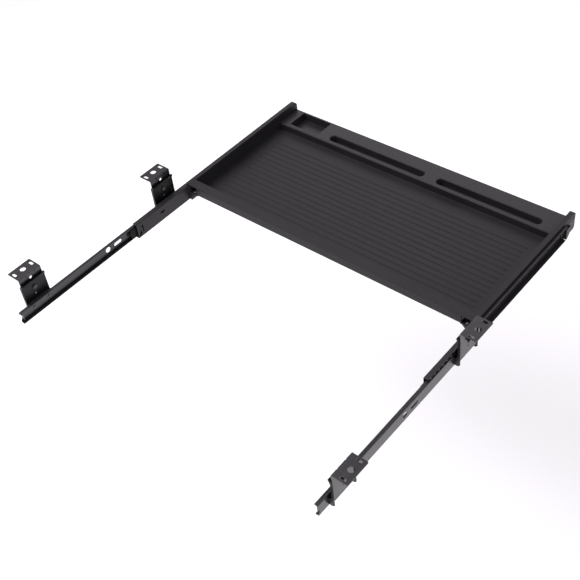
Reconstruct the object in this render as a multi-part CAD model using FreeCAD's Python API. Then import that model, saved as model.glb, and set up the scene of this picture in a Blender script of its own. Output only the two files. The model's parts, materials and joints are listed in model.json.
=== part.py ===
import os

from FreeCAD import Vector
import Part

# Slide-out keyboard tray that hangs under a desk top.
# Frame: X across the tray, +X on the user's right, -Y towards the user, +Z up, millimetres.
# Origin: centre of the four big round hanger holes, on the plane of the desk's underside.
# The tray is drawn pulled out towards the user.  Right-hand pieces are drawn at +X and mirrored.

# ---- driving dimensions -------------------------------------------------------------------
TRAY_W = 700.0            # over the outer faces of the tray's side walls
TRAY_D = 350.0            # front to rear
RIM_Z = -46.0             # top of the tray's rim, below the desk's underside
REAR_Y = -221.0           # rear edge of the tray when it is pulled out
SLIDE_L = 457.0           # length of each slide member (18 inch)
SLIDE_DROP = 22.8         # slide's centre line below the rim
BRACKET_PITCH = 344.0     # front bracket to rear bracket
SLIDE_RECESS = 5.0        # the channel sits this far under the overhang of the tray's rim
CHANNEL_REAR_Y = -71.0    # rear end of the channel when the tray is pulled out
RAIL_REAR_Y = 225.0

# ---- sheet steel slide, section dimensions measured outward from the channel's back -------
SIDE_X = TRAY_W / 2
SLIDE_X = SIDE_X - SLIDE_RECESS
SLIDE_Z = RIM_Z - SLIDE_DROP
SHEET = 1.1               # slide steel
CHANNEL_HALF_H = 17.1     # flat of the channel's flange
CHANNEL_DEPTH = 10.7
RAIL_HALF_H = 13.3
RAIL_INNER = 5.6          # free edge of the rail's flange
RAIL_OUTER = 13.0         # outer face of the rail's web
RACE_OFFSET = 9.2         # ball centres from the channel's back
RACE_HALF_H = 14.6        # ball centres above and below the slide's centre line
BALL_R = 1.6
RACE_R = 1.9
BALL_PITCH = 12.0
BALLS_PER_ROW = 12
RETAINER_FRONT_Y = -214.0
RETAINER_L = 140.0
RETAINER_T = 1.0
RETAINER_WEB = 3.9        # inner face of the retainer's web
RETAINER_LIP = 10.2       # free edge of the retainer's ball strips
RETAINER_SLOT_L = 44.0
RETAINER_SLOT_R = 7.0
TONGUE_L = 18.0           # the retainer's web reaches past its ball strips at the rear
TONGUE_HALF_H = 11.5
CHANNEL_SLOT_Y = -143.0
CHANNEL_SLOT_RISE = 3.0   # above the slide's centre line
CHANNEL_SLOT_L = 12.0
CHANNEL_SLOT_R = 2.0
LANCE_Y = -86.0           # upright slot near the channel's rear end
LANCE_L = 18.0
LANCE_R = 1.3
STRAP_Y = -82.4           # raised strap beside the upright slot
STRAP_R = 2.4
STRAP_HALF_L = 7.0
POST_H = 5.5
POST_BORE_R = 1.3
SCREW_CLEAR = 0.4         # channel's screw holes, larger in radius than the screw
CHANNEL_BEND_R = 1.4
RAIL_BEND_R = 1.6
RETAINER_BEND_R = 0.9
BUMPER_W = 5.0
BUMPER_EDGE_R = 1.0
RAIL_END_NOTCH = 9.0      # the web stops short of the raceways at the front end
REAR_NOTCH = 3.5          # depth and radius of the round notch in the web's rear end
REAR_NOTCH_R = 11.0
NOTCH_HALF_H = 9.0
RAIL_TAB_HALF_H = 7.0
RAIL_TAB_REACH = 1.2      # front tab past the raceways' free edges, and rear tab short of them
RAIL_HOLE_Y = 0.0
RAIL_HOLE_R = 6.0
RAIL_SLOT_Y = -26.5
RAIL_SLOT_L = 20.0
RAIL_SLOT_R = 3.75

# ---- brackets -----------------------------------------------------------------------------
PLATE = 1.5               # bracket steel
GAP = 0.3                 # clearance between the two bracket plates
HANGER_W = 52.0
FLANGE_W = 32.0
LEG_BOTTOM_Z = -68.0
JOG = 6.0                 # bracket plate steps outward by this much above the rail
JOG_LOW_Z = SLIDE_Z + 4.3 # the step starts just above the rivet heads
LEAN_H = 9.0              # height of the inward-leaning top edge
LEAN_IN = 4.0
EAR_CLEAR = 0.4           # each side of the hanger's leg
EAR_DEPTH = 10.8
EAR_CORNER = 4.0
FOLD_R = 1.2
FLANGE_CORNER = 1.2
LEG_CORNER = 3.0
BRACKET_TOP_Z = -14.0
BRACKET_BOTTOM_Z = -80.0
HOLE_ROW = 19.0           # desk holes, from the fold
DESK_HOLE_R = 5.9
DESK_SLOT_PITCH = 40.0
DESK_SLOT_L = 12.0
DESK_SLOT_R = 2.75
GUSSET_OFFSET = 10.5      # each side of the bracket's middle
GUSSET_W = 7.0
GUSSET_REACH = 9.5
DENT_W = 4.0
DENT_DEPTH = 1.4
DENT_H = 8.0
UPPER_HOLE_Z = -10.5
UPPER_HOLE_R = 3.2
LOWER_HOLE_Z = -49.5
LOWER_HOLE_R = 2.0
LOWER_HOLE_DY = 1.4       # from the bracket's middle, away from the user
BOLT_Z = -33.5
BOLT_R = 2.5
HEIGHT_SLOT_R = 2.9
HEIGHT_TRAVEL = 8.0       # up or down from the middle of the slot
RIVET_PITCH = 36.0
RIVET_R = 2.0
RIVET_HEAD = (3.6, 1.3, 1.0)     # radius, height and edge radius
BOLT_HEAD = (4.6, 2.6, 1.4)      # the same
BOLT_L = 8.6
CROSS_L = 4.4             # cross recess in the bolt's head
CROSS_W = 1.0
CROSS_DEPTH = 1.4
WASHER_R = 5.0
WASHER_T = 1.0
NUT_R = 4.6               # over the corners
NUT_H = 3.6

# ---- moulded tray -------------------------------------------------------------------------
WALL = 10.0               # side walls
SKIN = 2.5                # moulded skins
RECESS_DEPTH = 35.0       # keyboard floor below the rim
BODY_DEPTH = 41.0         # side walls, top to bottom
REAR_BAR = 19.0
SKIRT_H = 20.0
LEDGE_DROP = 18.0
LEDGE_SET_BACK = 2.0      # ledge's front edge behind the side walls' tips
LEDGE_D = 64.0            # from the tips to the ledge's rear edge
OVERHANG = 4.2            # thickness of the rim over the channel
LIP_H = 31.0              # front lip's lower edge below the rim
POCKET_X = (238.0, 315.0)
POCKET_D = 48.0
POCKET_DEPTH = 17.0
GROOVE_ENDS = ((-33.0, 208.0), (-303.0, -66.0))
GROOVE_W = 18.0
GROOVE_DEPTH = 16.0
GROOVE_R = 2.5            # rounding of the pen grooves' upper rims
GROOVE_EDGE = 10.0        # rear side of the pen grooves, from the ledge's rear edge
CORNER_R = 2.0            # upright outer corners
RECESS_R = 2.5
RECESS_FLOOR_R = 0.8
TIP_R = 9.0               # side walls' upper front corners
TIP_LOW_R = 8.0
NOSE_OUT = 5.5            # block in front of the channel, outward from the side wall
NOSE_L = 16.0
NOSE_Z = (-85.0, -60.0)
LEDGE_REAR_R = 3.0
LEDGE_FRONT_R = 2.0
BAR_R = 2.0
CORNER_GAP = 19.0         # the rear skirt is open over this width beside each side wall
LUG_SCREW_IN = 9.0        # bright screw in the lug that closes the opening from below
LUG_SCREW_FORE = 5.5
LUG_SCREW_L = 6.0
LUG_SCREW_HEAD = (3.2, 1.8, 1.0)     # radius, height and edge radius
LUG_SCREW_CROSS = (3.6, 0.8, 0.9)    # length, width and depth of the cross recess
LUG_BOSS_R = 3.5
LUG_BOSS_H = 7.0
RIB_T = 2.0
RIB_PITCH = 80.0
RIBS_EACH_SIDE = 3        # lengthwise ribs each side of the middle one
CROSS_RIBS = 4
LINE_COUNT = 14
LINE_PITCH = 14.3
LINE_FIRST = 57.0         # first floor line, from the tray's rear edge
LINE_HALF_L = 311.0
LINE_W = 4.5
LINE_DEPTH = 0.55
SCREW_Y = (-256.0, -374.0, -492.0)
SCREW_R = 1.75
SCREW_L = 4.5
SCREW_HEAD = (3.7, 1.5, 0.9)     # radius, height and edge radius

FRONT_Y = REAR_Y - TRAY_D
LEDGE_Y = FRONT_Y + LEDGE_D
INNER_X = SIDE_X - WALL
FLOOR_Z = RIM_Z - RECESS_DEPTH
BASE_Z = RIM_Z - BODY_DEPTH
CHANNEL_FRONT_Y = CHANNEL_REAR_Y - SLIDE_L
BUMPER_Y = CHANNEL_FRONT_Y + 6.7
RAIL_FRONT_Y = RAIL_REAR_Y - SLIDE_L
BUMPER_R = 5.2
POST_R = 2.6
PLATE_X = SLIDE_X + RAIL_OUTER
LEG_X = PLATE_X + JOG + PLATE + GAP
DESK_HOLE_X = LEG_X + HOLE_ROW
BRACKET_YS = {"front": -BRACKET_PITCH / 2, "rear": BRACKET_PITCH / 2}


X_AXIS = Vector(1, 0, 0)
Y_AXIS = Vector(0, 1, 0)
Z_AXIS = Vector(0, 0, 1)


# ---- helpers ------------------------------------------------------------------------------
def box(x0, x1, y0, y1, z0, z1):
    return Part.makeBox(x1 - x0, y1 - y0, z1 - z0, Vector(x0, y0, z0))


def rod_x(radius, x0, x1, y, z):
    return Part.makeCylinder(radius, x1 - x0, Vector(x0, y, z), Vector(1, 0, 0))


def rod_y(radius, y0, y1, x, z):
    return Part.makeCylinder(radius, y1 - y0, Vector(x, y0, z), Vector(0, 1, 0))


def rod_z(radius, z0, z1, x, y):
    return Part.makeCylinder(radius, z1 - z0, Vector(x, y, z0), Vector(0, 0, 1))


def prism(points, along):
    wire = Part.makePolygon([Vector(*p) for p in points + points[:1]])
    return Part.Face(wire).extrude(Vector(*along))


def fuse(shapes):
    return shapes[0].multiFuse(shapes[1:]).removeSplitter()


def mirrored(shape):
    return shape.mirror(Vector(), X_AXIS)


def edge_round(radius, x0, x1, y, z, towards_y):
    """Cutter that rounds a top edge along X; the material lies on the towards_y side of y."""
    centre_y = y + towards_y * radius
    y0, y1 = sorted((centre_y, y - towards_y))
    corner = box(x0, x1, y0, y1, z - radius, z + 1)
    return corner.cut(rod_x(radius, x0 - 1, x1 + 1, centre_y, z - radius))


def edges_along(shape, axis, wanted):
    """Straight edges parallel to an axis whose middle point is wanted."""
    found = []
    for edge in shape.Edges:
        first, last = edge.Vertexes[0].Point, edge.Vertexes[-1].Point
        span = last.sub(first)
        if span.Length < 1e-6:
            continue
        direction = abs(span.normalize().dot(axis))
        if direction > 0.999 and wanted((first + last) * 0.5):
            found.append(edge)
    return found


def rim_at(shape, x):
    """Edges that lie in the plane at x."""
    return [edge for edge in shape.Edges
            if abs(edge.BoundBox.XMin - x) < 0.01 and abs(edge.BoundBox.XMax - x) < 0.01]


def save(node, shapes):
    solids = [solid for shape in shapes for solid in shape.Solids]
    whole = solids[0] if len(solids) == 1 else Part.makeCompound(solids)
    whole.exportStep("parts/" + node + ".step")


def save_pair(stem, shapes):
    save(stem + "_right", shapes)
    save(stem + "_left", [mirrored(shape) for shape in shapes])


def slot_through_x(x0, x1, y, z, length, radius, upright=False):
    """Round-ended slot cut along X; its length lies along Z when upright, along Y otherwise."""
    half = length / 2 - radius
    dy, dz = (0, half) if upright else (half, 0)
    ends = [rod_x(radius, x0, x1, y + side * dy, z + side * dz) for side in (-1, 1)]
    if upright:
        middle = box(x0, x1, y - radius, y + radius, z - half, z + half)
    else:
        middle = box(x0, x1, y - half, y + half, z - radius, z + radius)
    return fuse(ends + [middle])


def slot_through_z(x, y, z0, z1, length, radius):
    """Round-ended slot cut along Z, with its length along X."""
    half = length / 2 - radius
    ends = [rod_z(radius, z0, z1, x + side * half, y) for side in (-1, 1)]
    return fuse(ends + [box(x - half, x + half, y - radius, y + radius, z0, z1)])


# ---- slide members ------------------------------------------------------------------------
def raceways(radius, y0, y1):
    return [rod_y(radius, y0, y1, SLIDE_X + RACE_OFFSET, SLIDE_Z + side * RACE_HALF_H)
            for side in (-1, 1)]


def slide_channel():
    """Wide member, screwed to the tray, open towards the outside."""
    y0, y1 = CHANNEL_FRONT_Y, CHANNEL_REAR_Y
    x0, x1 = SLIDE_X, SLIDE_X + CHANNEL_DEPTH
    low, high = SLIDE_Z - CHANNEL_HALF_H, SLIDE_Z + CHANNEL_HALF_H
    skin = box(x0, x1, y0, y1, low, high)
    skin = skin.makeFillet(CHANNEL_BEND_R, edges_along(skin, Y_AXIS, lambda p: p.x < x0 + 0.1))
    hollow = box(x0 + SHEET, x1 + 1, y0 - 1, y1 + 1, low + SHEET, high - SHEET)
    keep = [box(x0, x1, y0, y1, high - SHEET, high + 5), box(x0, x1, y0, y1, low - 5, low + SHEET)]
    ridges = [ridge.common(keep[0].fuse(keep[1])) for ridge in raceways(RACE_R + SHEET, y0, y1)]
    shape = fuse([skin.cut(hollow)] + ridges)
    for race in raceways(RACE_R, y0 - 1, y1 + 1):
        shape = shape.cut(race)
    for y in SCREW_Y:
        shape = shape.cut(rod_x(SCREW_R + SCREW_CLEAR, x0 - 1, x0 + 3, y, SLIDE_Z))
    shape = shape.cut(slot_through_x(x0 - 1, x0 + 3, CHANNEL_SLOT_Y, SLIDE_Z + CHANNEL_SLOT_RISE,
                                     CHANNEL_SLOT_L, CHANNEL_SLOT_R))
    strap = rod_z(STRAP_R, SLIDE_Z - STRAP_HALF_L, SLIDE_Z + STRAP_HALF_L, x0 + SHEET, STRAP_Y)
    strap = strap.common(box(x0 - STRAP_R, x0 + SHEET, y0, y1, low, high))
    post = rod_x(POST_R, x0, x0 + POST_H, BUMPER_Y, SLIDE_Z)
    shape = fuse([shape, strap, post])
    shape = shape.cut(slot_through_x(x0 - 3, x0 + 3, LANCE_Y, SLIDE_Z, LANCE_L, LANCE_R, True))
    return shape.cut(rod_x(POST_BORE_R, x0 - 1, x0 + POST_H + 1, BUMPER_Y, SLIDE_Z))


def end_bumper():
    """Rubber ring on the channel's front post; it meets the rail's tab when the tray is in."""
    x0 = SLIDE_X + SHEET
    ring = rod_x(BUMPER_R, x0, x0 + BUMPER_W, BUMPER_Y, SLIDE_Z)
    rims = [edge for edge in ring.Edges if edge.Curve.TypeId == "Part::GeomCircle"]
    ring = ring.makeFillet(BUMPER_EDGE_R, rims)
    return ring.cut(rod_x(POST_R, x0 - 1, x0 + BUMPER_W + 1, BUMPER_Y, SLIDE_Z))


def fixed_rail():
    """Narrow member, riveted to the brackets, nested in the channel with its web outward."""
    y0, y1 = RAIL_FRONT_Y, RAIL_REAR_Y
    x0, x1 = SLIDE_X + RAIL_INNER, SLIDE_X + RAIL_OUTER
    low, high = SLIDE_Z - RAIL_HALF_H, SLIDE_Z + RAIL_HALF_H
    skin = box(x0, x1, y0, y1, low, high)
    skin = skin.makeFillet(RAIL_BEND_R, edges_along(skin, Y_AXIS, lambda p: p.x > x1 - 0.1))
    hollow = box(x0 - 1, x1 - SHEET, y0 - 1, y1 + 1, low + SHEET, high - SHEET)
    inside = box(x0, x1 - SHEET, y0, y1, low, high)
    ridges = [ridge.common(inside) for ridge in raceways(RACE_R + SHEET, y0, y1)]
    shape = fuse([skin.cut(hollow)] + ridges)
    for race in raceways(RACE_R, y0 - 1, y1 + 1):
        shape = shape.cut(race)
    shape = shape.cut(box(x1 - 3, x1 + 1, y0 - 1, y0 + RAIL_END_NOTCH,
                          SLIDE_Z - NOTCH_HALF_H, SLIDE_Z + NOTCH_HALF_H))
    shape = shape.cut(rod_x(REAR_NOTCH_R, x1 - 3, x1 + 1, y1 + REAR_NOTCH_R - REAR_NOTCH, SLIDE_Z))
    tab_low, tab_high = SLIDE_Z - RAIL_TAB_HALF_H, SLIDE_Z + RAIL_TAB_HALF_H
    front_y, rear_y = y0 + RAIL_END_NOTCH, y1 - REAR_NOTCH
    shape = fuse([shape, box(x0 - RAIL_TAB_REACH, x1, front_y, front_y + SHEET, tab_low, tab_high),
                  box(x0 + RAIL_TAB_REACH, x1, rear_y - SHEET, rear_y, tab_low, tab_high)])
    shape = shape.cut(rod_x(RAIL_HOLE_R, x1 - 3, x1 + 1, RAIL_HOLE_Y, SLIDE_Z))
    shape = shape.cut(slot_through_x(x1 - 3, x1 + 1, RAIL_SLOT_Y, SLIDE_Z, RAIL_SLOT_L, RAIL_SLOT_R))
    for bracket_y in BRACKET_YS.values():
        for y in rivet_ys(bracket_y):
            shape = shape.cut(rod_x(RIVET_R, x1 - 3, x1 + 1, y, SLIDE_Z))
    return shape


def rivet_ys(bracket_y):
    return (bracket_y - RIVET_PITCH / 2, bracket_y + RIVET_PITCH / 2)


def ball_ys():
    first = RETAINER_FRONT_Y + (RETAINER_L - BALL_PITCH * (BALLS_PER_ROW - 1)) / 2
    return [first + BALL_PITCH * i for i in range(BALLS_PER_ROW)]


def ball_retainer():
    """Steel strip that keeps the balls apart; it travels half as far as the tray."""
    x0, x1 = SLIDE_X + RETAINER_WEB, SLIDE_X + RETAINER_LIP
    y0, y1 = RETAINER_FRONT_Y, RETAINER_FRONT_Y + RETAINER_L
    top = RACE_HALF_H + RETAINER_T / 2
    shape = box(x0, x1, y0, y1, SLIDE_Z - top, SLIDE_Z + top)
    shape = shape.makeFillet(RETAINER_BEND_R, edges_along(shape, Y_AXIS, lambda p: p.x < x0 + 0.1))
    shape = shape.cut(box(x0 + RETAINER_T, x1 + 1, y0 - 1, y1 + 1,
                          SLIDE_Z - top + RETAINER_T, SLIDE_Z + top - RETAINER_T))
    for side in (-1, 1):
        z = SLIDE_Z + side * RACE_HALF_H
        for y in ball_ys():
            shape = shape.cut(rod_z(BALL_R + 0.1, z - 2, z + 2, SLIDE_X + RACE_OFFSET, y))
    for y in (y0 + RETAINER_L * 0.25, y0 + RETAINER_L * 0.75):
        shape = shape.cut(slot_through_x(x0 - 1, x0 + 2, y, SLIDE_Z, RETAINER_SLOT_L, RETAINER_SLOT_R))
    tongue = box(x0, x0 + RETAINER_T, y1 - 1, y1 + TONGUE_L,
                 SLIDE_Z - TONGUE_HALF_H, SLIDE_Z + TONGUE_HALF_H)
    return fuse([shape, tongue])


def slide_balls():
    return [Part.makeSphere(BALL_R, Vector(SLIDE_X + RACE_OFFSET, y, SLIDE_Z + side * RACE_HALF_H))
            for side in (-1, 1) for y in ball_ys()]


# ---- brackets -----------------------------------------------------------------------------
def gusset_rib(x, y):
    """Pressed triangle that stiffens the fold, on its hollow side."""
    start = y - GUSSET_W / 2
    return prism([(x, start, 0), (x + GUSSET_REACH, start, 0), (x, start, -GUSSET_REACH)],
                 (0, GUSSET_W, 0))


def gusset_dent(x, y):
    """The same press mark seen from the fold's other side; it runs mostly down the leg."""
    start = y - DENT_W / 2
    return prism([(x - 1, start, 1), (x + DENT_DEPTH, start, 1), (x + DENT_DEPTH, start, -DENT_DEPTH),
                  (x, start, -DENT_H), (x - 1, start, -DENT_H)], (0, DENT_W, 0))


def hanger(bracket_y):
    """Upper bracket: flange against the desk and a leg that hangs from its inner edge."""
    y0, y1 = bracket_y - HANGER_W / 2, bracket_y + HANGER_W / 2
    x0, x1 = LEG_X, LEG_X + FLANGE_W
    flange = box(x0, x1, y0, y1, -PLATE, 0)
    leg = box(x0, x0 + PLATE, y0, y1, LEG_BOTTOM_Z, 0)
    shape = fuse([flange, leg])
    shape = shape.makeFillet(FOLD_R, edges_along(shape, Y_AXIS, lambda p: p.x < x0 + 0.1 and p.z > -0.1))
    shape = shape.makeChamfer(FLANGE_CORNER, edges_along(shape, Z_AXIS, lambda p: p.x > x1 - 0.1))
    shape = shape.makeChamfer(LEG_CORNER, edges_along(shape, X_AXIS, lambda p: p.z < LEG_BOTTOM_Z + 0.1))
    for side in (-1, 1):
        y = bracket_y + side * GUSSET_OFFSET
        shape = fuse([shape, gusset_rib(x0, y)]).cut(gusset_dent(x0, y))
        shape = shape.cut(slot_through_z(DESK_HOLE_X, bracket_y + side * DESK_SLOT_PITCH / 2,
                                         -PLATE - 1, 1, DESK_SLOT_L, DESK_SLOT_R))
    shape = shape.cut(rod_z(DESK_HOLE_R, -PLATE - 1, 1, DESK_HOLE_X, bracket_y))
    shape = shape.cut(rod_x(UPPER_HOLE_R, x0 - 1, x0 + PLATE + 1, bracket_y, UPPER_HOLE_Z))
    shape = shape.cut(rod_x(LOWER_HOLE_R, x0 - 1, x0 + PLATE + 1, bracket_y + LOWER_HOLE_DY,
                            LOWER_HOLE_Z))
    slot_l = 2 * (HEIGHT_TRAVEL + HEIGHT_SLOT_R)
    return shape.cut(slot_through_x(x0 - 1, x0 + PLATE + 1, bracket_y, BOLT_Z, slot_l,
                                    HEIGHT_SLOT_R, True))


def bracket_profile():
    """Inner face of the bracket plate from bottom to top, as points (x, z): flat against the
    rail, stepped outward to the hanger's leg, and leaning back inward at its top edge."""
    jogged = PLATE_X + JOG
    return [(PLATE_X, BRACKET_BOTTOM_Z), (PLATE_X, JOG_LOW_Z), (jogged, JOG_LOW_Z + JOG),
            (jogged, BRACKET_TOP_Z - LEAN_H), (jogged - LEAN_IN, BRACKET_TOP_Z)]


def slide_bracket(bracket_y):
    """Lower bracket: a plate riveted to the rail, with two ears that embrace the hanger's leg."""
    inside = HANGER_W / 2 + EAR_CLEAR
    outside = inside + PLATE
    inner = bracket_profile()
    outer = [(x + PLATE, z) for x, z in reversed(inner)]
    ear_x = PLATE_X + EAR_DEPTH
    ear = inner + [(ear_x - EAR_CORNER, BRACKET_TOP_Z), (ear_x, BRACKET_TOP_Z - EAR_CORNER),
                   (ear_x, BRACKET_BOTTOM_Z + EAR_CORNER), (ear_x - EAR_CORNER, BRACKET_BOTTOM_Z)]
    y0 = bracket_y - outside
    pieces = [prism([(x, y0, z) for x, z in inner + outer], (0, 2 * outside, 0))]
    for start in (y0, bracket_y + inside):
        pieces.append(prism([(x, start, z) for x, z in ear], (0, PLATE, 0)))
    shape = fuse(pieces)
    through = (PLATE_X - 1, PLATE_X + JOG + PLATE + 1)
    shape = shape.cut(rod_x(LOWER_HOLE_R, *through, bracket_y + LOWER_HOLE_DY, LOWER_HOLE_Z))
    shape = shape.cut(rod_x(BOLT_R, *through, bracket_y, BOLT_Z))
    for y in rivet_ys(bracket_y):
        shape = shape.cut(rod_x(RIVET_R, *through, y, SLIDE_Z))
    return shape


def bracket_rivet(y):
    """Rivet with a low round head on both sides of rail web and bracket plate."""
    x0, x1 = PLATE_X - SHEET, PLATE_X + PLATE
    head_r, head_h, edge_r = RIVET_HEAD
    heads = [rod_x(head_r, x0 - head_h, x0, y, SLIDE_Z), rod_x(head_r, x1, x1 + head_h, y, SLIDE_Z)]
    rounded = [head.makeFillet(edge_r, rim_at(head, rim_x))
               for head, rim_x in zip(heads, (x0 - head_h, x1 + head_h))]
    return fuse([rod_x(RIVET_R, x0, x1, y, SLIDE_Z)] + rounded)


def height_bolt(bracket_y):
    """Low-head cross-recess screw through the bracket plate and the hanger's slot."""
    head_r, head_h, edge_r = BOLT_HEAD
    seat = PLATE_X + JOG
    face = seat - head_h
    head = rod_x(head_r, face, seat, bracket_y, BOLT_Z)
    head = head.makeFillet(edge_r, rim_at(head, face))
    for wide, tall in ((CROSS_W / 2, CROSS_L / 2), (CROSS_L / 2, CROSS_W / 2)):
        head = head.cut(box(face - 1, face + CROSS_DEPTH, bracket_y - wide, bracket_y + wide,
                            BOLT_Z - tall, BOLT_Z + tall))
    return fuse([head, rod_x(BOLT_R, seat, seat + BOLT_L, bracket_y, BOLT_Z)])


def height_nut(bracket_y):
    """Hexagon nut with its washer, outside the hanger's leg."""
    x0 = LEG_X + PLATE + GAP
    x1 = x0 + WASHER_T
    washer = rod_x(WASHER_R, x0, x1, bracket_y, BOLT_Z)
    flat = NUT_R * 0.75 ** 0.5
    corners = [(0, NUT_R), (flat, NUT_R / 2), (flat, -NUT_R / 2), (0, -NUT_R), (-flat, -NUT_R / 2),
               (-flat, NUT_R / 2)]
    nut = prism([(x1, bracket_y + dy, BOLT_Z + dz) for dy, dz in corners], (NUT_H, 0, 0))
    bore = rod_x(BOLT_R, x0 - 1, x1 + NUT_H + 1, bracket_y, BOLT_Z)
    return [washer.cut(bore), nut.cut(bore)]


def channel_screw(y):
    """Low-head screw through the channel's web into the tray's side wall."""
    head_r, head_h, edge_r = SCREW_HEAD
    x = SLIDE_X + SHEET
    head = rod_x(head_r, x, x + head_h, y, SLIDE_Z)
    head = head.makeFillet(edge_r, rim_at(head, x + head_h))
    return fuse([head, rod_x(SCREW_R, x - SHEET - SCREW_L, x, y, SLIDE_Z)])


# ---- moulded tray -------------------------------------------------------------------------
def side_tip_cut():
    """Rounds the lower front corner of the side walls."""
    centre_y, centre_z = FRONT_Y + TIP_LOW_R, BASE_Z + TIP_LOW_R
    corner = box(-SIDE_X - 1, SIDE_X + 1, FRONT_Y - 1, centre_y, BASE_Z - 1, centre_z)
    return corner.cut(rod_x(TIP_LOW_R, -SIDE_X - 2, SIDE_X + 2, centre_y, centre_z))


def slide_nose():
    """Block that covers the channel's front end; its front edge sweeps back towards the bottom."""
    rear = CHANNEL_FRONT_Y - 1
    front = rear - NOSE_L
    low, high = NOSE_Z
    outline = [(rear, high), (front, high), (front, high - 8), (front + 6, low + 6), (front + 13, low),
               (rear, low)]
    block = prism([(SIDE_X - 1, y, z) for y, z in outline], (NOSE_OUT + 1, 0, 0))
    return block.makeFillet(2.0, edges_along(block, X_AXIS, lambda p: p.y < rear - 2))


def tray_blank():
    """Outer block, opened above the keyboard floor and the front ledge, and cored from below."""
    block = box(-SIDE_X, SIDE_X, FRONT_Y, REAR_Y, BASE_Z, RIM_Z)
    block = block.makeFillet(CORNER_R, edges_along(block, Z_AXIS, lambda p: True))
    recess = box(-INNER_X, INNER_X, LEDGE_Y, REAR_Y - REAR_BAR, FLOOR_Z, RIM_Z + 1)
    recess = recess.makeFillet(RECESS_R, edges_along(recess, Z_AXIS, lambda p: True))
    recess = recess.makeFillet(RECESS_FLOOR_R,
                               [edge for edge in recess.Edges if edge.BoundBox.ZMax < FLOOR_Z + 0.1])
    over_ledge = box(-INNER_X, INNER_X, FRONT_Y - 1, LEDGE_Y + 5, RIM_Z - LEDGE_DROP, RIM_Z + 1)
    lip_y = FRONT_Y + LEDGE_SET_BACK
    before_lip = box(-INNER_X, INNER_X, FRONT_Y - 1, lip_y, BASE_Z - 1, RIM_Z + 1)
    under_ledge = box(-INNER_X, INNER_X, lip_y + SKIN + 0.5, LEDGE_Y - SKIN,
                      BASE_Z - 1, RIM_Z - LEDGE_DROP - SKIN)
    under_lip = box(-INNER_X, INNER_X, FRONT_Y - 1, FRONT_Y + 10, BASE_Z - 1, RIM_Z - LIP_H)
    under_floor = box(-INNER_X, INNER_X, LEDGE_Y - SKIN - 1, REAR_Y - REAR_BAR + SKIN,
                      BASE_Z - 1, FLOOR_Z - SKIN)
    under_bar = box(-INNER_X, INNER_X, REAR_Y - REAR_BAR + SKIN, REAR_Y - SKIN,
                    BASE_Z - 1, RIM_Z - SKIN)
    under_skirt = box(-INNER_X, INNER_X, REAR_Y - 5, REAR_Y + 1, BASE_Z - 1, RIM_Z - SKIRT_H)
    shape = block
    for cutter in (recess, over_ledge, before_lip, under_ledge, under_lip, under_floor, under_bar,
                   under_skirt):
        shape = shape.cut(cutter)
    return shape


def ledge_tubs():
    """Outsides of the pocket and of the pen grooves, hanging under the ledge."""
    top = RIM_Z - LEDGE_DROP
    rear = LEDGE_Y - GROOVE_EDGE
    pocket = box(POCKET_X[0] - SKIN, POCKET_X[1] + SKIN, FRONT_Y + LEDGE_SET_BACK + 1, LEDGE_Y - 1,
                 top - POCKET_DEPTH - SKIN, top - 1)
    grooves = [box(x0 - SKIN, x1 + SKIN, rear - GROOVE_W - SKIN, rear + SKIN,
                   top - GROOVE_DEPTH - SKIN, top - 1) for x0, x1 in GROOVE_ENDS]
    return [pocket] + grooves


def groove_rim(x0, x1, y, top):
    """Cutter that rounds the upper rim of a pen groove."""
    around = box(x0 - SKIN - GROOVE_R, x1 + SKIN + GROOVE_R, y - GROOVE_W, y + GROOVE_W,
                 top - 2 * GROOVE_R, top)
    frame = around.cut(slot_through_z((x0 + x1) / 2, y, top - GROOVE_DEPTH, top + 1, x1 - x0,
                                      GROOVE_W / 2))
    rim = [edge for edge in frame.Edges
           if all(abs(v.Point.z - top) < 0.01 and abs(v.Point.y - y) < GROOVE_W / 2 + 0.1
                  for v in edge.Vertexes)]
    return around.cut(frame.makeFillet(GROOVE_R, rim))


def ledge_hollows():
    top = RIM_Z - LEDGE_DROP
    pocket_y = LEDGE_Y - GROOVE_EDGE + 1
    pocket = box(POCKET_X[0], POCKET_X[1], pocket_y - POCKET_D, pocket_y,
                 top - POCKET_DEPTH, top + 1)
    pocket = pocket.makeFillet(2.0, edges_along(pocket, Z_AXIS, lambda p: True))
    hollows = [pocket]
    for x0, x1 in GROOVE_ENDS:
        y = LEDGE_Y - GROOVE_EDGE - GROOVE_W / 2
        groove = slot_through_z((x0 + x1) / 2, y, top - GROOVE_DEPTH, top + 1, x1 - x0, GROOVE_W / 2)
        hollows += [groove, groove_rim(x0, x1, y, top)]
    return hollows


def floor_lines():
    """Shallow rounded grooves across the keyboard floor."""
    radius = (LINE_W ** 2 / 4 + LINE_DEPTH ** 2) / (2 * LINE_DEPTH)
    z = FLOOR_Z - LINE_DEPTH + radius
    return [rod_x(radius, -LINE_HALF_L, LINE_HALF_L, REAR_Y - LINE_FIRST - LINE_PITCH * i, z)
            for i in range(LINE_COUNT)]


def under_ribs():
    """Stiffening ribs under the floor, down to the lower edge of the side walls."""
    low, high, half = BASE_Z, FLOOR_Z - 1, RIB_T / 2
    y0, y1 = LEDGE_Y - SKIN, REAR_Y - REAR_BAR + SKIN
    ribs = []
    for i in range(-RIBS_EACH_SIDE, RIBS_EACH_SIDE + 1):
        x = i * RIB_PITCH
        ribs.append(box(x - half, x + half, y0, y1, low, high))
    step = (y1 - y0 - RIB_T) / (CROSS_RIBS - 1)
    for i in range(CROSS_RIBS):
        y = y0 + step * i
        ribs.append(box(-INNER_X - 1, INNER_X + 1, y, y + RIB_T, low, high))
    return ribs


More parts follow.
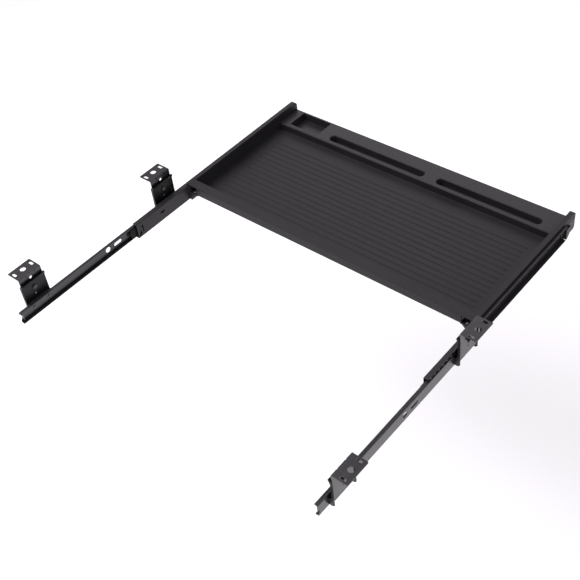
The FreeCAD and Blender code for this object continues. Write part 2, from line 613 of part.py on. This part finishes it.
def lug_screw():
    """Pan-head screw that stands in the lug of a rear corner."""
    head_r, head_h, edge_r = LUG_SCREW_HEAD
    length, width, depth = LUG_SCREW_CROSS
    x, y, z = INNER_X - LUG_SCREW_IN, REAR_Y - LUG_SCREW_FORE, RIM_Z - SKIRT_H
    top = z + head_h
    head = rod_z(head_r, z, top, x, y)
    head = head.makeFillet(edge_r, [edge for edge in head.Edges
                                    if all(abs(v.Point.z - top) < 0.01 for v in edge.Vertexes)])
    for half_x, half_y in ((length / 2, width / 2), (width / 2, length / 2)):
        head = head.cut(box(x - half_x, x + half_x, y - half_y, y + half_y, top - depth, top + 1))
    return fuse([head, rod_z(SCREW_R, z - LUG_SCREW_L, z, x, y)])


def corner_lugs():
    """Horizontal lug with a screw boss in each rear corner, and the three-cornered web under it."""
    top = RIM_Z - SKIRT_H
    base = top - SKIN
    inner = INNER_X - CORNER_GAP
    parts = []
    for side in (-1, 1):
        a, b = sorted((side * (INNER_X + 1), side * (inner - 2)))
        lug = box(a, b, REAR_Y - REAR_BAR + 1, REAR_Y, base, top)
        screw_at = (side * (INNER_X - LUG_SCREW_IN), REAR_Y - LUG_SCREW_FORE)
        boss = rod_z(LUG_BOSS_R, top - LUG_BOSS_H, base + 0.5, *screw_at)
        parts.append(fuse([lug, boss]).cut(rod_z(SCREW_R, top - LUG_SCREW_L, top + 1, *screw_at)))
        web = [(INNER_X + 1, top - 1), (inner, top - 1), (INNER_X, BASE_Z), (INNER_X + 1, BASE_Z)]
        parts.append(prism([(side * x, REAR_Y - SKIN, z) for x, z in web], (0, SKIN, 0)))
    return parts


def tray_shell():
    shape = fuse([tray_blank()] + ledge_tubs() + under_ribs())
    cutters = ledge_hollows() + floor_lines()
    for side in (-1, 1):
        a, b = sorted((side * INNER_X, side * (INNER_X - CORNER_GAP)))
        cutters.append(box(a, b, REAR_Y - SKIN - 0.5, REAR_Y + 1, RIM_Z - SKIRT_H - 1, RIM_Z - SKIN))
        a, b = sorted((side * SLIDE_X, side * (SIDE_X + 1)))
        cutters.append(box(a, b, CHANNEL_FRONT_Y - 1, REAR_Y + 1, BASE_Z - 1, RIM_Z - OVERHANG))
        for y in SCREW_Y:
            a, b = sorted((side * (SLIDE_X + 1), side * (SLIDE_X - SCREW_L)))
            cutters.append(rod_x(SCREW_R, a, b, y, SLIDE_Z))
    ledge_z = RIM_Z - LEDGE_DROP
    cutters += [
        side_tip_cut(),
        edge_round(TIP_R, -SIDE_X - 1, SIDE_X + 1, FRONT_Y, RIM_Z, 1),
        edge_round(LEDGE_REAR_R, -INNER_X, INNER_X, LEDGE_Y, ledge_z, -1),
        edge_round(LEDGE_FRONT_R, -INNER_X, INNER_X, FRONT_Y + LEDGE_SET_BACK, ledge_z, 1),
        edge_round(BAR_R, -SIDE_X - 1, SIDE_X + 1, REAR_Y, RIM_Z, -1),
    ]
    for cutter in cutters:
        shape = shape.cut(cutter)
    nose = slide_nose()
    return fuse([shape, nose, mirrored(nose)] + corner_lugs())


# ---- write the nodes ----------------------------------------------------------------------
os.makedirs("parts", exist_ok=True)
save_pair("slide_channel", [slide_channel()])
save_pair("end_bumper", [end_bumper()])
save_pair("fixed_rail", [fixed_rail()])
save_pair("ball_retainer", [ball_retainer()])
save_pair("slide_balls", slide_balls())
save_pair("channel_screws", [channel_screw(y) for y in SCREW_Y])
save_pair("lug_screw", [lug_screw()])
for place, centre_y in BRACKET_YS.items():
    save_pair("hanger_" + place, [hanger(centre_y)])
    save_pair("slide_bracket_" + place, [slide_bracket(centre_y)])
all_rivets = [bracket_rivet(y) for centre in BRACKET_YS.values() for y in rivet_ys(centre)]
save_pair("bracket_rivets", all_rivets)
save_pair("height_bolts", [height_bolt(centre) for centre in BRACKET_YS.values()])
save_pair("height_nuts", [shape for centre in BRACKET_YS.values() for shape in height_nut(centre)])
save("tray_shell", [tray_shell()])
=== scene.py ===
import json
import math

import bmesh
import bpy
from mathutils import Matrix, Vector

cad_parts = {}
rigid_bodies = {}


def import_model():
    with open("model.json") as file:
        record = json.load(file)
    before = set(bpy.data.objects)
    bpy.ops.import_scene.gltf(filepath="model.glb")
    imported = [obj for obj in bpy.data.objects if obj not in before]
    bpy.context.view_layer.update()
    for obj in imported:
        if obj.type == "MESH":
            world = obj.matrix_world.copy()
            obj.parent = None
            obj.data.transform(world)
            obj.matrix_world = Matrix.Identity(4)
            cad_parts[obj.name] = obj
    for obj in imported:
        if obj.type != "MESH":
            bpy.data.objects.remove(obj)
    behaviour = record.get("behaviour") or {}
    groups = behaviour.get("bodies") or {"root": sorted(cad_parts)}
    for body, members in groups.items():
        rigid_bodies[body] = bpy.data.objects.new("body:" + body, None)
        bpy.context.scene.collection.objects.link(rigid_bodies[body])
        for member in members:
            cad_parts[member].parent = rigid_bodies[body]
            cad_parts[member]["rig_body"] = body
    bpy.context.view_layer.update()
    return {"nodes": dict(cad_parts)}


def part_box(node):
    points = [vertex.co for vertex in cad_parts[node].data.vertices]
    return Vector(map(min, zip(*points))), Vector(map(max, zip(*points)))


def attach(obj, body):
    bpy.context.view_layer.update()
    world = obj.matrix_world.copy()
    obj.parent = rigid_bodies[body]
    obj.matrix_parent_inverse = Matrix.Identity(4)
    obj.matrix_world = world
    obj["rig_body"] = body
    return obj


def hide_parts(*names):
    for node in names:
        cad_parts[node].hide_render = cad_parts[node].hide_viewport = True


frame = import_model()
MM = 0.001

# ---- camera -------------------------------------------------------------------------------
CAMERA_AT = Vector((-0.9742, 0.8284, 1.2410))
CAMERA_AIM = Vector((-0.0033, -0.1299, -0.0870))
CAMERA_ROLL = math.radians(-7.91)
LENS_MM = 62.98
SENSOR_MM = 36.0
FAR_CLIP = 50.0           # metres, past all of the floor that shows


def make_camera():
    data = bpy.data.cameras.new("camera")
    data.lens = LENS_MM
    data.sensor_width = SENSOR_MM
    data.clip_end = FAR_CLIP
    camera = bpy.data.objects.new("camera", data)
    bpy.context.scene.collection.objects.link(camera)
    turn = (CAMERA_AIM - CAMERA_AT).to_track_quat("-Z", "Y").to_matrix().to_4x4()
    camera.matrix_world = (Matrix.Translation(CAMERA_AT) @ turn
                           @ Matrix.Rotation(CAMERA_ROLL, 4, "Z"))
    bpy.context.scene.camera = camera


# ---- floor and light ----------------------------------------------------------------------
FLOOR_Z = -0.72           # the tray hangs, as it does under a desk top
FLOOR_HALF = 30.0
FLOOR_GLOW = 0.36         # the floor is a lit white table, so shadows on it stay faint
WORLD_LEVEL = 0.30
TINT = (1.0, 0.95, 1.02)  # the light is a little short of green
LIGHTS = {                # position, aim, size, watts
    "key": ((1.2, 0.6, 2.3), (0.0, -0.1, 0.0), (2.4, 2.4), 68.0),
    "back": ((1.3, -2.7, 1.8), (0.0, -0.3, 0.0), (2.4, 1.6), 21.0),
    "fill": ((-2.0, -0.5, 1.0), (0.0, -0.2, -0.05), (1.6, 1.2), 8.0),
}


def soft_light(name, at, aim, size, watts):
    data = bpy.data.lights.new(name, "AREA")
    data.shape = "RECTANGLE"
    data.size, data.size_y = size
    data.energy = watts
    data.color = TINT
    light = bpy.data.objects.new(name, data)
    bpy.context.scene.collection.objects.link(light)
    light.location = at
    light.rotation_euler = (Vector(aim) - Vector(at)).to_track_quat("-Z", "Y").to_euler()


def make_studio():
    world = bpy.data.worlds.new("studio")
    bpy.context.scene.world = world
    world.use_nodes = True
    background = world.node_tree.nodes["Background"]
    background.inputs["Color"].default_value = (*TINT, 1.0)
    background.inputs["Strength"].default_value = WORLD_LEVEL
    for name, (at, aim, size, watts) in LIGHTS.items():
        soft_light(name, at, aim, size, watts)
    mesh = bpy.data.meshes.new("studio_floor")
    h = FLOOR_HALF
    corners = [(-h, -h, FLOOR_Z), (h, -h, FLOOR_Z), (h, h, FLOOR_Z), (-h, h, FLOOR_Z)]
    mesh.from_pydata(corners, [], [(0, 1, 2, 3)])
    floor = bpy.data.objects.new("studio_floor", mesh)
    bpy.context.scene.collection.objects.link(floor)
    mat = bpy.data.materials.new("studio_floor")
    mat.use_nodes = True
    shader = mat.node_tree.nodes["Principled BSDF"]
    shader.inputs["Base Color"].default_value = (0.95, 0.95, 0.95, 1.0)
    shader.inputs["Roughness"].default_value = 0.9
    shader.inputs["Specular IOR Level"].default_value = 0.0
    shader.inputs["Emission Color"].default_value = (1.0, 1.0, 1.0, 1.0)
    shader.inputs["Emission Strength"].default_value = FLOOR_GLOW
    mesh.materials.append(mat)


# ---- materials ----------------------------------------------------------------------------
TRAY_LOW, TRAY_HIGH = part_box("tray_shell")
LEDGE_REAR_Y = TRAY_LOW.y + 0.064         # the front ledge: forward of this and below the rims
LEDGE_TOP_Z = TRAY_HIGH.z - 0.015
GROOVE_BOTTOM_Z = TRAY_HIGH.z - 0.0357    # the fine cross grooves lie between these two levels
GROOVE_TOP_Z = TRAY_HIGH.z - 0.0351
GROOVE_PAINTED_SHADE = 0.30                      # shares of the colour and roughness ranges; the colour share is painted shade in the grooves
GROOVE_ROUGHER = 0.16
LEDGE_SMOOTHER = 0.16


class Finish:
    """A node material under construction; textures follow the piece's own coordinates."""

    def __init__(self, name):
        self.mat = bpy.data.materials.new(name)
        self.mat.use_nodes = True
        self.tree = self.mat.node_tree
        self.shader = self.tree.nodes["Principled BSDF"]
        self.place = self.add("ShaderNodeTexCoord").outputs["Object"]
        self.bumps = None

    def add(self, kind, **settings):
        node = self.tree.nodes.new(kind)
        for key, value in settings.items():
            setattr(node, key, value)
        return node

    def link(self, source, target):
        self.tree.links.new(source, target)

    def set(self, **values):
        for key, value in values.items():
            self.shader.inputs[key.replace("_", " ")].default_value = value

    def stretched(self, scale):
        node = self.add("ShaderNodeMapping")
        node.inputs["Scale"].default_value = scale
        self.link(self.place, node.inputs["Vector"])
        return node.outputs["Vector"]

    def noise(self, scale, detail=2.0, rough=0.5, stretch=None):
        node = self.add("ShaderNodeTexNoise")
        node.inputs["Scale"].default_value = scale
        node.inputs["Detail"].default_value = detail
        node.inputs["Roughness"].default_value = rough
        self.link(self.stretched(stretch) if stretch else self.place, node.inputs["Vector"])
        return node.outputs["Fac"]

    def cells(self, scale):
        node = self.add("ShaderNodeTexVoronoi", feature="F1")
        node.inputs["Scale"].default_value = scale
        self.link(self.place, node.inputs["Vector"])
        return node.outputs["Distance"]

    def ramp(self, source, low, high, start=0.3, end=0.7):
        """Map the texture's range start..end to the numbers low..high."""
        node = self.add("ShaderNodeMapRange")
        limits = {"From Min": start, "From Max": end, "To Min": low, "To Max": high}
        for key, value in limits.items():
            node.inputs[key].default_value = value
        self.link(source, node.inputs["Value"])
        return node.outputs["Result"]

    def tones(self, source, low, high, start=0.3, end=0.7):
        """Map the texture's range start..end to the colours low..high."""
        node = self.add("ShaderNodeMix", data_type="RGBA")
        factor, a, b = node.inputs[0], node.inputs[6], node.inputs[7]
        a.default_value, b.default_value = (*low, 1.0), (*high, 1.0)
        self.link(self.ramp(source, 0.0, 1.0, start, end), factor)
        return node.outputs[2]

    def sums(self, operation, a, b):
        """One step of arithmetic on two textures, or on a texture and a number."""
        node = self.add("ShaderNodeMath", operation=operation)
        for source, target in ((a, node.inputs[0]), (b, node.inputs[1])):
            if isinstance(source, float):
                target.default_value = source
            else:
                self.link(source, target)
        return node.outputs[0]

    def below(self, axis, limit):
        """1 where the coordinate is under the limit, 0 elsewhere."""
        split = self.add("ShaderNodeSeparateXYZ")
        self.link(self.place, split.inputs["Vector"])
        return self.sums("LESS_THAN", split.outputs[axis], limit)

    def bump(self, height, depth):
        """Relief of the given depth in metres; calls stack."""
        node = self.add("ShaderNodeBump")
        node.inputs["Strength"].default_value = 1.0
        node.inputs["Distance"].default_value = depth
        self.link(height, node.inputs["Height"])
        if self.bumps is not None:
            self.link(self.bumps, node.inputs["Normal"])
        self.bumps = node.outputs["Normal"]
        self.link(self.bumps, self.shader.inputs["Normal"])

    def colour(self, source):
        self.link(source, self.shader.inputs["Base Color"])

    def roughness(self, source):
        self.link(source, self.shader.inputs["Roughness"])


def moulded_plastic():
    """Charcoal ABS with a fine spark-eroded grain, smoother on the front ledge, with painted shade
    darkening the fine cross grooves.
    """
    f = Finish("moulded_charcoal_plastic")
    grain = f.noise(2600.0, 3.0, 0.6)
    pits = f.cells(1500.0)
    cloud = f.noise(9.0, 3.0, 0.55)
    ledge = f.sums("MULTIPLY", f.below("Y", LEDGE_REAR_Y), f.below("Z", LEDGE_TOP_Z))
    groove = f.sums("SUBTRACT", f.below("Z", GROOVE_TOP_Z), f.below("Z", GROOVE_BOTTOM_Z))

    mottle_and_groove_shade = f.sums("ADD", f.sums("MULTIPLY", grain, 0.35), f.sums("MULTIPLY", cloud, 0.65))
    # painted shade: the colour is darkened inside the fine cross grooves
    mottle_and_groove_shade = f.sums("SUBTRACT", mottle_and_groove_shade, f.sums("MULTIPLY", groove, GROOVE_PAINTED_SHADE))
    f.colour(f.tones(mottle_and_groove_shade, (0.0215, 0.0205, 0.0222), (0.0305, 0.0290, 0.0313), 0.35, 0.65))

    rough = f.ramp(cloud, 0.46, 0.54)
    rough = f.sums("SUBTRACT", rough, f.sums("MULTIPLY", ledge, LEDGE_SMOOTHER))
    f.roughness(f.sums("ADD", rough, f.sums("MULTIPLY", groove, GROOVE_ROUGHER)))
    f.bump(grain, 0.00006)
    f.bump(pits, 0.00004)
    f.set(Specular_IOR_Level=0.20)
    return f.mat


def coated_steel(name, low, high, rough, streak, gloss):
    """Black coated sheet between two tones; faint rolling lines follow the streak's small scale."""
    f = Finish(name)
    lines = f.noise(60.0, 4.0, 0.6, stretch=streak)
    speck = f.noise(1800.0, 2.0, 0.5)
    cloud = f.noise(22.0, 2.0, 0.5)
    f.colour(f.tones(cloud, low, high))
    f.roughness(f.ramp(f.sums("MULTIPLY", lines, 0.6), *rough, 0.2, 0.4))
    f.bump(lines, 0.00004)
    f.bump(speck, 0.00002)
    f.set(Specular_IOR_Level=gloss, Coat_Weight=gloss / 3, Coat_Roughness=0.12)
    return f.mat


def bright_balls():
    """Polished steel of the slides' balls."""
    f = Finish("polished_ball_steel")
    cloud = f.noise(900.0, 2.0, 0.5)
    f.colour(f.tones(cloud, (0.55, 0.55, 0.56), (0.68, 0.68, 0.69)))
    f.roughness(f.ramp(cloud, 0.10, 0.20))
    f.set(Metallic=1.0)
    return f.mat


def zinc_plate():
    """Bright zinc on the two small screws at the tray's rear corners."""
    f = Finish("bright_zinc_plate")
    cloud = f.noise(700.0, 3.0, 0.5)
    f.colour(f.tones(cloud, (0.42, 0.42, 0.44), (0.58, 0.58, 0.60)))
    f.roughness(f.ramp(cloud, 0.28, 0.42))
    f.bump(cloud, 0.00002)
    f.set(Metallic=1.0)
    return f.mat


def rubber():
    """Matte black rubber of the end bumpers."""
    f = Finish("black_rubber")
    grain = f.noise(1400.0, 3.0, 0.6)
    f.colour(f.tones(grain, (0.010, 0.010, 0.010), (0.018, 0.018, 0.018)))
    f.roughness(f.ramp(grain, 0.70, 0.85))
    f.bump(grain, 0.00005)
    return f.mat


FINISHES = {
    "tray_plastic": moulded_plastic(),
    "slide_steel": coated_steel("black_coated_slide_steel",
                                (0.006, 0.0058, 0.0065), (0.011, 0.0105, 0.0118),
                                (0.26, 0.36), (1.0, 0.02, 1.0), 0.7),
    "bracket_steel": coated_steel("black_coated_bracket_steel",
                                  (0.008, 0.0075, 0.0085), (0.014, 0.013, 0.0148),
                                  (0.24, 0.44), (1.0, 0.1, 0.05), 0.7),
    "retainer_steel": coated_steel("dark_retainer_steel",
                                   (0.003, 0.003, 0.0035), (0.006, 0.006, 0.0065),
                                   (0.50, 0.60), (1.0, 0.05, 1.0), 0.15),
    "fastener_steel": coated_steel("black_oxide_fasteners",
                                   (0.006, 0.006, 0.0065), (0.012, 0.012, 0.0125),
                                   (0.22, 0.32), (1.0, 1.0, 1.0), 0.9),
    "screw_zinc": zinc_plate(),
    "ball_steel": bright_balls(),
    "bumper_rubber": rubber(),
}
# Pieces whose coat differs from the rest of their slot: the inner brackets and the channels are
# duller than the hangers and rails, and their colours are painted light: painted shade darkens the
# inner brackets, and the channels are lighter.
LIT_AND_SHADED_COATS = {
    # painted shade: darker than the bracket coat of the hangers
    "slide_bracket": coated_steel("dull_shaded_bracket_steel",
                                  (0.004, 0.0038, 0.0045), (0.009, 0.0085, 0.0097),
                                  (0.40, 0.50), (1.0, 0.1, 1.0), 0.28),
    # painted light: lighter than the slide coat of the rails
    "slide_channel": coated_steel("dull_lit_channel_steel",
                                  (0.022, 0.0208, 0.0224), (0.032, 0.0304, 0.0326),
                                  (0.34, 0.44), (1.0, 0.02, 1.0), 0.25),
}


# ---- pieces -------------------------------------------------------------------------------
SHARP = math.radians(30.0)    # edges that are rounded
FLAT = math.radians(0.4)      # triangles that are one face
WELD = 0.001 * MM
EDGE_RADIUS = {
    "tray_shell": 0.7 * MM,
    "slide_channel": 0.25 * MM,
    "fixed_rail": 0.25 * MM,
    "ball_retainer": 0.2 * MM,
    "hanger": 0.3 * MM,
    "slide_bracket": 0.3 * MM,
}


def softened(name, radius):
    """Copy of a CAD node with every sharp edge rounded to a small radius."""
    source = frame["nodes"][name]
    shape = bmesh.new()
    shape.from_mesh(source.data)
    bmesh.ops.remove_doubles(shape, verts=shape.verts, dist=WELD)
    bmesh.ops.dissolve_limit(shape, angle_limit=FLAT, verts=shape.verts, edges=shape.edges)
    sharp = [edge for edge in shape.edges
             if edge.is_manifold and edge.calc_face_angle(0.0) > SHARP]
    bmesh.ops.bevel(shape, geom=sharp, offset=radius, offset_type="OFFSET", segments=2,
                    profile=0.5, affect="EDGES", clamp_overlap=True, loop_slide=True)
    for face in shape.faces:
        face.smooth = True
    mesh = bpy.data.meshes.new(name + "_softened")
    shape.to_mesh(mesh)
    shape.free()
    piece = bpy.data.objects.new(name + "_softened", mesh)
    bpy.context.scene.collection.objects.link(piece)
    even = piece.modifiers.new("even", "WEIGHTED_NORMAL")
    even.keep_sharp = True
    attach(piece, source["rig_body"])
    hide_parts(name)
    return piece


def by_stem(table, name, default=None):
    """The table's value for the first stem that the node's name starts with."""
    return next((value for stem, value in table.items() if name.startswith(stem)), default)


make_camera()
make_studio()
bpy.context.scene.view_settings.view_transform = "Standard"

for name, obj in frame["nodes"].items():
    slot = obj.data.materials[0].name
    radius = by_stem(EDGE_RADIUS, name)
    if radius is None:
        obj.data.materials[0] = FINISHES[slot]
    else:
        piece = softened(name, radius)
        piece.data.materials.append(by_stem(LIT_AND_SHADED_COATS, name, FINISHES[slot]))
